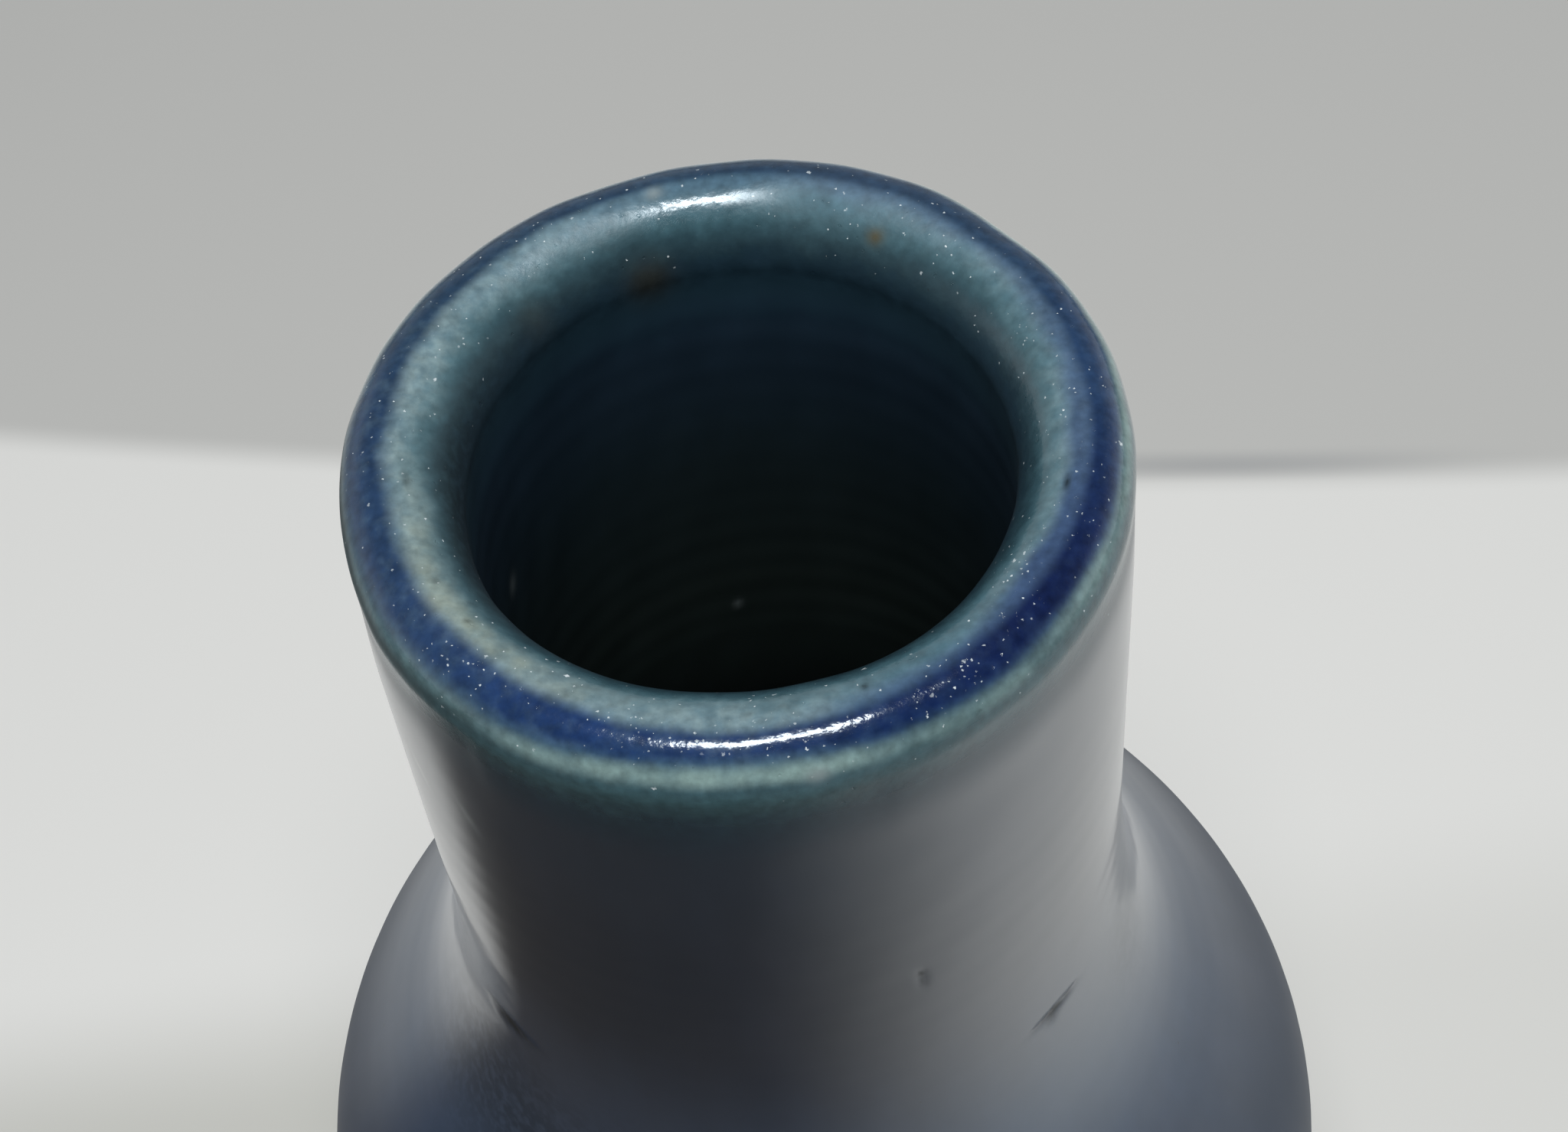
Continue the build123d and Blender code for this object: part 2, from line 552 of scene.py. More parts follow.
@dataclass(frozen=True)
class Handwork:
    """How the maker's hand and the kiln moved the faces away from a true turning.

    Pairs of runs, or of drops below the crest, are where an effect starts and where it is full. The pairs
    of the lumps are the ranges that their waves are drawn from.
    """

    section: tuple[Wave, ...] = (
        Wave(2, 0.07, 20, 0.010),
        Wave(3, 0.05, 75, -0.016),
        Wave(5, 0.03, 10, 0.022),
    )
    rim: RoundCurve = RoundCurve((
        (0, 0.03), (12, 0.10), (22, 0.14), (30, 0.13), (37, -0.10), (44, 0.08), (51, 0.26), (60, 0.12),
        (75, 0.08), (90, -0.02), (104, -0.15), (118, -0.03), (132, 0.01), (145, 0.11), (160, 0.05),
        (170, 0.04), (181, -0.08), (190, -0.12), (210, -0.02), (240, 0.04), (270, 0.0), (300, 0.05),
        (330, 0.04),
    ), 5.0)
    rim_run: tuple[float, float] = (-5.0, 0.5)
    mouth: RoundCurve = RoundCurve((
        (-180, -0.15), (-165, -0.02), (-150, 0.09), (-135, -0.05), (-120, -0.19), (-105, -0.26),
        (-90, -0.26), (-75, -0.13), (-60, 0.08), (-45, 0.12), (-30, 0.18), (-15, 0.23), (0, 0.20),
        (20, 0.13), (40, 0.05), (60, -0.04), (80, -0.13), (100, -0.20), (120, -0.24), (140, -0.26),
        (160, -0.23),
    ), 9.0)
    mouth_run: tuple[float, float] = (0.0, -3.0)
    mouth_drop: tuple[float, float] = (60.0, 30.0)
    crest: tuple[Wave, ...] = (Wave(2, 0.02, -60), Wave(3, 0.03, 30), Wave(7, 0.02, 12))
    crest_reach: float = 9.0
    crest_full: float = 0.4
    lip_roll: float = 0.042
    roll_drop: tuple[float, float] = (4.0, 1.0)
    dents: tuple[Dent, ...] = (Dent(-12, 38.5, 18, 5.0, -0.16), Dent(-168, 39.0, 14, 6.5, 0.17))
    crease_depth: float = 0.12
    axis_calm: float = 8.0
    ring_pitch: float = 2.3
    ring_run: tuple[float, float] = (5.0, 9.0)
    ring_swell: float = 0.4
    swell_pace: float = 0.23
    swell_start: float = 1.0
    half_ring: float = 0.5
    outer_ring: float = 0.004
    inner_ring: float = 0.011
    lump: float = 0.009
    lump_waves: int = 40
    lump_lobes: tuple[int, int] = (4, 30)
    lump_pace: tuple[float, float] = (0.15, 1.1)
    body_lump: float = 0.3
    body_run: tuple[float, float] = (2.5, 6.0)
    seed: int = 7

    def lumps(self, places: Places) -> Array:
        """Sum up the soft unevenness of the fired glaze.

        Args:
            places: points of a coat.

        Returns:
            Height over the even coat in millimetres.
        """
        rng = np.random.default_rng(self.seed)
        total = np.zeros(places.run.shape)
        for _ in range(self.lump_waves):
            lobes = int(rng.integers(*self.lump_lobes))
            pace = rng.uniform(*self.lump_pace)
            total += np.cos(lobes * places.azimuth + pace * places.run + rng.uniform(0, FULL_TURN))
        calm = 1 + (self.body_lump - 1) * smooth_step(places.run, *self.body_run)
        return self.lump * calm * total * math.sqrt(2 / self.lump_waves)

    def rings(self, places: Places) -> Array:
        """Draw finger rings that climb one pitch a turn, stronger inside than outside.

        Args:
            places: points of a coat.

        Returns:
            Height of the rings in millimetres.
        """
        azimuth, run = places.azimuth, places.run
        climb = FULL_TURN * run / self.ring_pitch
        wave = np.cos(climb + azimuth) + self.half_ring * np.cos(climb / 2 + 2 * azimuth)
        swell = 1 - self.ring_swell + self.ring_swell * np.cos(self.swell_pace * run + self.swell_start)
        inside = self.inner_ring * smooth_step(-run, *self.ring_run)
        outside = self.outer_ring * smooth_step(run, *self.ring_run)
        return wave * swell * (inside + outside)

    def move(self, places: Places, form: JarForm) -> tuple[Array, Array]:
        """Move points away from the true form.

        Args:
            places: points of a coat.
            form: the jar's true form.

        Returns:
            Shift outward and, as imaginary part, upward; and shift along the face's normal.
        """
        drop = form.height - places.level
        off_axis = smooth_step(places.radius, 0.0, self.axis_calm)
        at_rim = smooth_step(drop, self.crest_reach, self.crest_full * self.crest_reach)
        outward = sum(w.at(places) for w in self.section) * off_axis * (1 - at_rim)
        outward += self.rim.at(places) * at_rim * smooth_step(places.run, *self.rim_run)
        in_mouth = smooth_step(places.run, *self.mouth_run) * smooth_step(drop, *self.mouth_drop)
        outward += self.mouth.at(places) * in_mouth
        upward = sum(w.at(places) for w in self.crest) * smooth_step(drop, self.crest_reach, 0.0)
        rolled = smooth_step(drop, *self.roll_drop)
        upward += self.lip_roll * (places.radius - form.crest_radius) * rolled
        proud = (self.lumps(places) + self.rings(places)) * off_axis
        proud -= sum(dent.at(places) for dent in self.dents)
        proud -= self.crease_depth * sum(crease.at(places) for crease in STAINS[Mark.CREASE])
        return outward + 1j * upward, proud


@dataclass(frozen=True)
class CobaltPool:
    """Where cobalt lies on the lip: its two edges as runs, and its hue, depth and pale borders."""

    inner_edge: RoundCurve = RoundCurve((
        (-178, -0.1), (-150, -0.1), (-121, -0.15), (-98, 0.1), (-79, 0.2), (-58, -0.15), (-32, 0.3),
        (-10, 0.35), (15, 0.2), (45, 0.08), (64, 0.03), (90, 0.2), (120, 0.03), (150, -0.15),
    ))
    outer_edge: RoundCurve = RoundCurve((
        (-178, 2.3), (-150, 1.9), (-120, 1.75), (-95, 1.45), (-60, 1.85), (-35, 1.7), (0, 1.7),
        (45, 1.5), (90, 1.4), (135, 1.7),
    ))
    arris: RoundCurve = RoundCurve((
        (-178, 0.05), (-150, 0.3), (-122, 0.75), (-95, 1.25), (-62, 0.6), (-35, 0.65), (0, 1.0),
        (40, 0.95), (90, 0.65), (135, 0.6),
    ))
    # Share of cobalt against grey-blue; the greyer blue round the far side is partly the glaze's own and
    # partly painted reflection
    blue: RoundCurve = RoundCurve((
        (-178, 0.4), (-150, 0.55), (-122, 1.0), (-95, 0.8), (-60, 1.0), (-30, 1.0), (0, 0.45),
        (45, 0.25), (90, 0.2), (135, 0.2),
    ))
    depth: RoundCurve = RoundCurve((
        (-178, 0.1), (-150, 0.1), (-120, 0.3), (-95, 0.15), (-72, 0.75), (-45, 1.0), (-25, 0.9),
        (0, 0.1), (45, 0.0), (90, 0.0), (135, 0.0),
    ))
    haze: RoundCurve = RoundCurve((
        (-178, 0.0), (-145, 0.0), (-118, 0.1), (-95, 0.0), (-66, 0.7), (-35, 1.0), (0, 0.8), (30, 0.6),
        (60, 0.5), (90, 0.2), (130, 0.0),
    ))
    pale: RoundCurve = RoundCurve((
        (-178, 0.65), (-150, 0.55), (-122, 0.4), (-95, 0.65), (-62, 0.05), (-36, 0.42), (0, 0.45),
        (30, 0.35), (60, 0.06), (90, 0.06), (120, 0.36), (150, 0.72),
    ))
    cream_azimuth: float = -148.0
    cream_spread: float = 20.0

    def marks(self, places: Places) -> dict[Mark, Array]:
        """Work out what the glaze recipe reads of the lip's bands.

        Args:
            places: points of a coat.

        Returns:
            Values at those points, by mark.
        """
        inner, outer = self.inner_edge.at(places), self.outer_edge.at(places)
        return {
            Mark.POOL: (places.run - inner) / (outer - inner),
            Mark.BLUE: self.blue.at(places),
            Mark.DEPTH: self.depth.at(places),
            Mark.HAZE: self.haze.at(places),
            Mark.PALE: self.pale.at(places),
            Mark.ARRIS: self.arris.at(places),
            Mark.RIM: places.run - outer,
            Mark.CREAM: bell(np.degrees(places.turned_from(self.cream_azimuth)) / self.cream_spread),
        }


@dataclass(frozen=True)
class CoatMaker:
    """Builds one glaze coat as a closed skin that follows the form and the handwork, in millimetres.

    Rows are finer near the lip, and crowd where the creases lie. The outer coat ends over the foot in an
    uneven edge, whose waves are each a number of lobes, a share of the wander and a start in radians.
    """

    form: JarForm
    hand: Handwork
    coat: Coat
    columns: int
    fine_step: float
    coarse_step: float
    coarse_rise: float = 14.0
    floor_gap: float = 0.4
    back_step: float = 2.3
    least_back_rows: int = 10
    join_reach: float = 6.0
    crease_run: float = 35.2
    crease_half: float = 2.0
    crease_gain: float = 3.0
    crowding_points: int = 4001
    bead: float = 0.18
    bead_run: float = 1.6
    swell_share: float = 0.5
    tuck_share: float = 0.35
    edge_wander: float = 1.1
    edge_middle: float = 0.5
    edge_waves: tuple[tuple[int, float, float], ...] = ((3, 0.28, 0.6), (7, 0.16, 2.0), (16, 0.10, 4.0))
    sharp_angle: float = 50.0

    def rows(self) -> Array:
        """Space the coat's rows.

        Returns:
            Signed runs in millimetres, from the upper or outer end of the coat to the other end.
        """
        outer, inner = self.form.outer_profile(), self.form.inner_profile()
        seam = self.form.height - self.form.lip_coat_depth
        out_seam, in_seam = outer.travel_to(seam), inner.travel_to(seam)
        if self.coat is Coat.LIP:
            return np.linspace(out_seam, -in_seam, round((out_seam + in_seam) / self.fine_step) + 1)
        if self.coat is Coat.OUTER:
            end = outer.travel_to(self.form.foot_height + self.form.bare_band)
            turn = outer.travel_to(self.form.belly_level + self.coarse_rise)
            fine = self.crowded_rows(out_seam, turn)
            coarse = np.linspace(turn, end, round((end - turn) / self.coarse_step) + 1)
            return np.concatenate([fine, coarse[1:]])
        end = inner.length
        turn = inner.travel_to(self.form.root_level)
        fine = np.linspace(in_seam, turn, round((turn - in_seam) / self.fine_step) + 1)
        coarse = np.linspace(turn, end - self.floor_gap, round((end - turn) / self.coarse_step) + 1)
        return -np.concatenate([fine, coarse[1:]])

    def crowded_rows(self, start: float, end: float) -> Array:
        """Space rows finely, and closer still at the creases.

        Args:
            start: run of the first row.
            end: run of the last one.

        Returns:
            Rising runs in millimetres.
        """
        travel = np.linspace(start, end, self.crowding_points)
        crowding = 1 + self.crease_gain * bell((travel - self.crease_run) / self.crease_half)
        passed = np.cumsum(crowding) * (end - start) / (travel.size * self.fine_step)
        stops = np.linspace(passed[0], passed[-1], round(passed[-1]) + 1)
        return np.interp(stops, passed, travel)

    def rolled_edge(self, front: Array, azimuth: Array) -> tuple[Array, Array]:
        """End the rows over the foot in an uneven bead that rolls under.

        Args:
            front: runs of the glazed face, row by row.
            azimuth: angles of the columns in radians.

        Returns:
            The drawn-up runs, and how far each point is under the glazed face.
        """
        waves = sum(size * np.cos(lobes * azimuth + begin) for lobes, size, begin in self.edge_waves)
        drawn_up = self.edge_wander * (self.edge_middle + waves)
        start, end = front[0, 0], front[-1, 0]
        front = start + (front - start) * (end - start - drawn_up) / (end - start)
        to_edge = front[-1:, :] - front
        swell = smooth_step(to_edge, self.bead_run, self.swell_share * self.bead_run)
        tuck = np.clip(1 - to_edge / (self.tuck_share * self.bead_run), 0, 1)
        roll = 1 - np.sqrt(np.clip(1 - tuck**2, 0, 1))
        return front, -self.bead * swell + (self.bead + self.form.glaze) * roll

    def lay(self, azimuth: Array, run: Array, depth: Array) -> tuple[Array, Places]:
        """Lay points on the coat.

        Args:
            azimuth: angle round the jar in radians.
            run: signed distance from the crest in millimetres.
            depth: how far under the glazed face, in millimetres.

        Returns:
            The points in metres, one a line, and their places on the true form.
        """
        sides = (self.form.outer_profile(), self.form.inner_profile())
        faces = (side.eased(np.abs(run), self.join_reach) for side in sides)
        point, normal = (np.where(run >= 0, a, b) for a, b in zip(*faces))
        places = Places(azimuth, run, point.real, point.imag)
        shift, proud = self.hand.move(places, self.form)
        keep = 1 - np.clip(depth / self.form.glaze, 0, 1)
        spot = point + shift * keep + normal * (proud * keep - depth)
        points = np.stack([spot.real * np.cos(azimuth), spot.real * np.sin(azimuth), spot.imag], -1) * MM
        return points.reshape(-1, 3), places

    def build(self) -> bpy.types.Object:
        """Make the coat's mesh with the marks that the glaze recipe reads.

        Returns:
            The coat, riding on the body in place of its CAD node.
        """
        azimuth = np.linspace(0, FULL_TURN, self.columns, endpoint=False)[None, :]
        front = self.rows()[:, None] + np.zeros_like(azimuth)
        depth = np.zeros_like(front)
        if self.coat is Coat.OUTER:
            front, depth = self.rolled_edge(front, azimuth)
        back_rows = math.ceil(abs(front[-1, 0] - front[0, 0]) / self.back_step)
        back = np.linspace(front[-1], front[0], max(self.least_back_rows, back_rows))
        runs = np.concatenate([front, back])
        depths = np.concatenate([depth, np.full_like(back, self.form.glaze)])
        points, places = self.lay(np.broadcast_to(azimuth, runs.shape), runs, depths)
        piece = self.skin(points, *runs.shape)
        self.write_marks(piece, places)
        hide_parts(self.coat.value)
        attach(piece, BODY)
        return piece

    def skin(self, points: Array, rows: int, columns: int) -> bpy.types.Object:
        """Join rings of points into a closed skin.

        Args:
            points: all points, ring by ring.
            rows: number of rings.
            columns: points in a ring.

        Returns:
            A new smooth-shaded mesh object.
        """
        row = np.arange(rows)[:, None]
        column = np.arange(columns)[None, :]
        here = row * columns
        below = (row + 1) % rows * columns
        after = (column + 1) % columns
        quads = np.stack([here + column, below + column, below + after, here + after], -1)
        mesh = bpy.data.meshes.new(f"{self.coat.value}_skin")
        mesh.from_pydata(points.tolist(), [], quads.reshape(-1, 4).tolist())
        mesh.shade_smooth()
        mesh.set_sharp_from_angle(angle=math.radians(self.sharp_angle))
        return add_object(mesh.name, mesh)

    def write_marks(self, piece: bpy.types.Object, places: Places) -> None:
        """Store the run, the lip's bands and all stains on the coat's vertices.

        Args:
            piece: the coat.
            places: where its vertices are on the true form.
        """
        values = {Mark.RUN: places.run} | CobaltPool().marks(places)
        for kind, stains in STAINS.items():
            values[kind] = sum(stain.at(places) for stain in stains)
        for kind, value in values.items():
            layer = piece.data.attributes.new(kind.value, "FLOAT", "POINT")
            layer.data.foreach_set("value", np.ascontiguousarray(value, np.float32).ravel())


@dataclass(frozen=True)
class Rise:
    """Smooth change between two places, from a first level to a last one."""

    start: float
    end: float
    first: float = 0.0
    last: float = 1.0


@dataclass(frozen=True)
class Band:
    """Soft band, full in its middle and gone at half its width."""

    middle: float
    half: float


@dataclass(frozen=True)
class Cloud:
    """Cloudy noise: its feature in millimetres, its detail, and how many times taller than wide it is.

    As a drift it swings half its gain each way; as a share its levels map it.
    """

    feature: float
    detail: float = 2.0
    stretch: float = 1.0
    gain: float = 1.0
    levels: Rise = Rise(0.0, 1.0)


@dataclass(frozen=True)
class Specks:
    """Ragged specks: mean spacing and largest radius in millimetres, and the share of places with one."""

    spacing: float
    radius: float
    share: float = 1.0
    least_size: float = 0.4
    least_strength: float = 0.3
    core: float = 0.55
    bend: float = 2.2


class Recipe:
    """Writes the nodes of one material or world, so that a finish reads like a recipe."""

    def __init__(self, owner: bpy.types.Material | bpy.types.World, source: str, scale: float) -> None:
        """Start with nothing but the place.

        Args:
            owner: the material or world.
            source: which of its coordinates give the place.
            scale: what they are multiplied by, to be in the recipe's unit.
        """
        owner.use_nodes = True
        self.nodes = owner.node_tree.nodes
        self.links = owner.node_tree.links
        self.nodes.clear()
        place = self.node("TexCoord").outputs[source]
        scaled = self.node("VectorMath", {0: place, "Scale": scale}, operation="SCALE")
        self.place: Socket = scaled.outputs[0]

    @classmethod
    def dress(cls, name: str) -> tuple[Recipe, bpy.types.Material]:
        """Start a new material whose recipe is in millimetres."""
        material = bpy.data.materials.new(name)
        return cls(material, "Object", 1 / MM), material

    def node(self, kind: str, inputs: dict | None = None, **settings: str) -> bpy.types.Node:
        """Add a node.

        Args:
            kind: its type, without the shader prefix.
            inputs: sockets to link or constants to set, by the input's name or number; None is passed over.
            **settings: its own properties.

        Returns:
            The node.
        """
        node = self.nodes.new(f"ShaderNode{kind}")
        for name, choice in settings.items():
            setattr(node, name, choice)
        for key, value in (inputs or {}).items():
            if value is None:
                continue
            if isinstance(value, Socket):
                self.links.new(value, node.inputs[key])
            else:
                node.inputs[key].default_value = value
        return node

    def math(self, operation: str, *values: Socket | float) -> Socket:
        """One sum on numbers, by the Math node's operation."""
        return self.node("Math", dict(enumerate(values)), operation=operation).outputs[0]

    def chain(self, operation: str, values: tuple[Socket | float, ...]) -> Socket:
        """Put an operation between all these values.

        Args:
            operation: the Math node's operation.
            values: two or more numbers.

        Returns:
            The result.
        """
        result = values[0]
        for value in values[1:]:
            result = self.math(operation, result, value)
        return result

    def times(self, *values: Socket | float) -> Socket:
        """Product of numbers."""
        return self.chain("MULTIPLY", values)

    def plus(self, *values: Socket | float) -> Socket:
        """Sum of numbers."""
        return self.chain("ADD", values)

    def minus(self, first: Socket | float, second: Socket | float) -> Socket:
        """Difference of two numbers."""
        return self.math("SUBTRACT", first, second)

    def mark(self, mark: Mark) -> Socket:
        """Value of a mark that the mesh holds."""
        return self.node("Attribute", attribute_name=mark.value).outputs["Fac"]

    def axes(self) -> tuple[Socket, Socket, Socket]:
        """The place's three parts."""
        x, y, z = self.node("SeparateXYZ", {0: self.place}).outputs
        return x, y, z

    def noise(self, cloud: Cloud) -> Socket:
        """Cloudy noise from 0 to 1.

        Args:
            cloud: its size and detail.

        Returns:
            The noise.
        """
        wide = 1 / cloud.feature
        tall = 1 / (cloud.feature * cloud.stretch)
        shrunk = self.node("VectorMath", {0: self.place, 1: (wide, wide, tall)}, operation="MULTIPLY")
        inputs = {"Vector": shrunk.outputs[0], "Scale": 1.0, "Detail": cloud.detail}
        return self.node("TexNoise", inputs).outputs["Fac"]

    def drift(self, cloud: Cloud) -> Socket:
        """Cloudy noise about zero."""
        return self.math("MULTIPLY_ADD", self.noise(cloud), cloud.gain, -0.5 * cloud.gain)

    def share(self, cloud: Cloud) -> Socket:
        """Cloudy noise mapped by its levels."""
        return self.rise(self.noise(cloud), cloud.levels)

    def rise(self, value: Socket, rise: Rise) -> Socket:
        """Map a number by a smooth change.

        Args:
            value: the number to map.
            rise: the change, whose start may be above its end.

        Returns:
            The mapped number.
        """
        ends = sorted(((rise.start, rise.first), (rise.end, rise.last)))
        (low, floor), (high, top) = ends
        inputs = {"Value": value, "From Min": low, "From Max": high, "To Min": floor, "To Max": top}
        return self.node("MapRange", inputs, interpolation_type="SMOOTHSTEP").outputs["Result"]

    def band(self, value: Socket, band: Band) -> Socket:
        """Share of a soft band at a number."""
        return self.rise(self.math("ABSOLUTE", self.minus(value, band.middle)), Rise(band.half, 0.0))

    def window(self, value: Socket, opens: Rise, closes: Rise) -> Socket:
        """Share of a window that opens by one change and closes by another."""
        return self.times(self.rise(value, opens), self.rise(value, closes))

    def specks(self, kind: Specks, crowd: Socket | None = None) -> Socket:
        """Scatter ragged specks of mixed sizes.

        Args:
            kind: their spacing, size and share.
            crowd: share of that share to keep, from 0 to 1, where it changes from place to place.

        Returns:
            Up to 1 in a speck and 0 outside.
        """
        ragged = self.node("TexNoise", {"Vector": self.place, "Scale": 1 / kind.radius}).outputs["Color"]
        sway = (kind.bend * kind.radius,) * 3
        bent = self.node("VectorMath", {0: ragged, 1: sway, 2: self.place}, operation="MULTIPLY_ADD")
        cells = self.node("TexVoronoi", {"Vector": bent.outputs[0], "Scale": 1 / kind.spacing})
        chance, spread, light = self.node("SeparateColor", {0: cells.outputs["Color"]}).outputs
        largest = kind.radius / kind.spacing
        size = self.math("MULTIPLY_ADD", spread, (1 - kind.least_size) * largest, kind.least_size * largest)
        away = self.math("DIVIDE", cells.outputs["Distance"], size)
        strength = self.math("MULTIPLY_ADD", light, 1 - kind.least_strength, kind.least_strength)
        share = kind.share if crowd is None else self.times(crowd, kind.share)
        held = self.math("LESS_THAN", chance, share)
        return self.times(self.rise(away, Rise(1.0, kind.core)), strength, held)

    def mix(self, share: Socket, first: Socket | Rgb, second: Socket | Rgb) -> Socket:
        """Blend two colours.

        Args:
            share: how much of the second.
            first: a socket or display values.
            second: the same.

        Returns:
            The blended colour.
        """
        colours = (linear(c) if isinstance(c, tuple) else c for c in (first, second))
        inputs = {0: share} | dict(zip(MIX_COLOURS, colours))
        return self.node("Mix", inputs, data_type="RGBA").outputs[MIX_RESULT]

    def layers(self, colour: Socket, *layers: tuple[Socket, Socket | Rgb]) -> Socket:
        """Lay colours over a first one.

        Args:
            colour: the colour under them all.
            *layers: share and colour of each, from the lowest up.

        Returns:
            The blended colour.
        """
        for share, over in layers:
            colour = self.mix(share, colour, over)
        return colour

    def tone(self, colour: Socket, factor: Socket) -> Socket:
        """Make a colour lighter or darker by a factor."""
        return self.node("VectorMath", {0: colour, "Scale": factor}, operation="SCALE").outputs[0]

    def ramp(self, value: Socket, stops: tuple[tuple[float, Rgb], ...]) -> Socket:
        """Colour by a number.

        Args:
            value: the number.
            stops: places and display colours, in rising order.

        Returns:
            The colour.
        """
        low, high = stops[0][0], stops[-1][0]
        node = self.node("ValToRGB", {"Fac": self.math("DIVIDE", self.minus(value, low), high - low)})
        node.color_ramp.interpolation = "CARDINAL"
        points = node.color_ramp.elements
        while len(points) < len(stops):
            points.new(0.5)
        for point, (place, colour) in zip(points, stops):
            point.position = (place - low) / (high - low)
            point.color = linear(colour)
        return node.outputs["Color"]

    def bump(self, height: Socket, depth: float, under: Socket | None = None) -> Socket:
        """Raise relief of 0 to 1 by a depth in millimetres, over other relief if there is some."""
        inputs = {"Height": height, "Strength": 1.0, "Distance": depth * MM, "Normal": under}
        return self.node("Bump", inputs).outputs["Normal"]

    def surface(self, inputs: dict[str, Socket | float]) -> None:
        """Finish a material with one shader, whose inputs are linked or set by name."""
        shader = self.node("BsdfPrincipled", inputs)
        self.node("OutputMaterial", {"Surface": shader.outputs["BSDF"]})


@dataclass(frozen=True)
class BlueGlaze:
    """Alkaline blue glaze: cobalt pooled on the lip, pale where it thins, slate on the body.

    Changes and bands are over the run from the crest in millimetres, negative inside. Only pool_width is
    over the cobalt pool, from 0 to 1, arris_band over the distance beyond it, and levels over noise.
    """

    name: str = "faience_blue_glaze"

    # Colours
    ground: tuple[tuple[float, Rgb], ...] = (
        (-30.0, (34, 43, 42)),
        (-18.0, (35, 49, 56)),
        (-9.0, (40, 60, 77)),
        (-6.0, (44, 71, 87)),
        # painted shade: the stops from -4.8 to -3.6 dip darker than on either side, in the throat of the
        # bore
        (-4.8, (35, 59, 73)),
        (-4.2, (29, 51, 64)),
        (-3.6, (30, 52, 63)),
        (-3.0, (37, 59, 68)),
        (-2.4, (46, 71, 80)),
        (-1.8, (58, 88, 98)),
        (-1.2, (63, 95, 108)),
        (-0.5, (72, 102, 118)),
        (0.4, (72, 104, 122)),
        (1.4, (62, 94, 112)),
        (2.0, (60, 86, 98)),
        (2.7, (64, 92, 102)),
        (3.6, (60, 92, 100)),
        (5.0, (42, 67, 80)),
        (8.0, (36, 53, 71)),
        (27.0, (33, 44, 61)),
        (38.0, (58, 72, 94)),
        (47.0, (64, 81, 106)),
        (60.0, (36, 50, 72)),
    )
    pale: Rgb = (142, 162, 162)
    # greyer blue of the lip, partly painted reflection on the far side
    grey_blue: Rgb = (38, 58, 74)
    cobalt: Rgb = (30, 56, 100)
    deep_cobalt: Rgb = (11, 24, 62)
    violet: Rgb = (54, 74, 106)
    celadon: Rgb = (128, 154, 152)
    # painted shadow under the lip, where its round meets the neck
    under_lip_shadow: Rgb = (34, 50, 52)
    cream: Rgb = (152, 158, 138)
    # dark of dirt spots, pinholes and painted shade
    iron: Rgb = (80, 68, 34)
    soot_and_shade: Rgb = (24, 28, 28)
    # white of specks painted as glints of bubbles in the glaze
    speck_glint: Rgb = (206, 216, 220)
    # pale spots and scratches, and painted light
    chalk_and_sheen: Rgb = (132, 144, 146)
    slate: Rgb = (66, 72, 88)
    tint: Rgb = (238, 249, 255)

    # How the bands wander and fray
    wander: Cloud = Cloud(5.0, gain=1.3)
    fray: Cloud = Cloud(0.9, 3.0)
    body_fray: Rise = Rise(2.5, 5.5, 0.3, 2.2)
    bore_fray: Rise = Rise(-1.6, -3.6, 0.0, 1.5)

    # Body clouds, and the pale edge where the glaze thins
    clouds: Cloud = Cloud(9.0, 4.0, 2.5, levels=Rise(0.35, 0.75, 0.0, 0.45))
    cloud_run: Rise = Rise(5.0, 14.0)
    fluff: Cloud = Cloud(0.9, 5.0, levels=Rise(0.32, 0.68, 0.40, 0.92))
    thin_run: tuple[Rise, Rise] = (Rise(-2.4, -0.4), Rise(2.2, 0.4))

    # Bands of the lip
    cream_band: Band = Band(-0.7, 1.3)
    cream_cloud: Cloud = Cloud(1.6, 3.0, levels=Rise(0.30, 0.75, 0.2, 0.65))
    haze_run: tuple[Rise, Rise] = (Rise(-1.1, -0.1), Rise(2.2, 1.4))
    pool_cloud: Cloud = Cloud(2.2, 3.0, gain=0.25)
    pool_width: tuple[Rise, Rise] = (Rise(-0.25, 0.25), Rise(1.3, 0.7))
    mottle: Cloud = Cloud(0.8, 4.0, levels=Rise(0.25, 0.6, 0.86, 1.0))
    streak: Cloud = Cloud(2.4, 3.0, levels=Rise(0.25, 0.65, 0.45, 1.0))
    arris_band: Band = Band(0.65, 0.75)
    arris_wander: float = 0.5
    # band of the painted shadow under the lip, and how much the pale arris thins it
    shade_band: Band = Band(3.0, 0.7)
    shade_limit: float = 0.9

    # Grain, specks painted as glints, pinholes, and the breakup of dirt and painted shade
    on_lip: Band = Band(-0.2, 4.5)
    near_lip: Band = Band(1.2, 8.5)
    fine_grain: Cloud = Cloud(0.55, 6.0, gain=1.15)
    broad_grain: Cloud = Cloud(2.6, 3.0, 4.0, gain=0.35)
    loose_crowd: float = 0.11
    # specks painted as glints
    tiny_glints: Specks = Specks(0.22, 0.07)
    glint_specks: Specks = Specks(0.5, 0.13, 0.6)
    lone_glints: Specks = Specks(1.4, 0.14, 0.45)
    pinholes: Specks = Specks(1.7, 0.12, 0.3)
    pinhole_strength: float = 0.6
    # breakup of the dirt and the painted shade
    dark_breakup: Cloud = Cloud(0.6, 3.0, levels=Rise(0.3, 0.6, 0.45, 1.0))

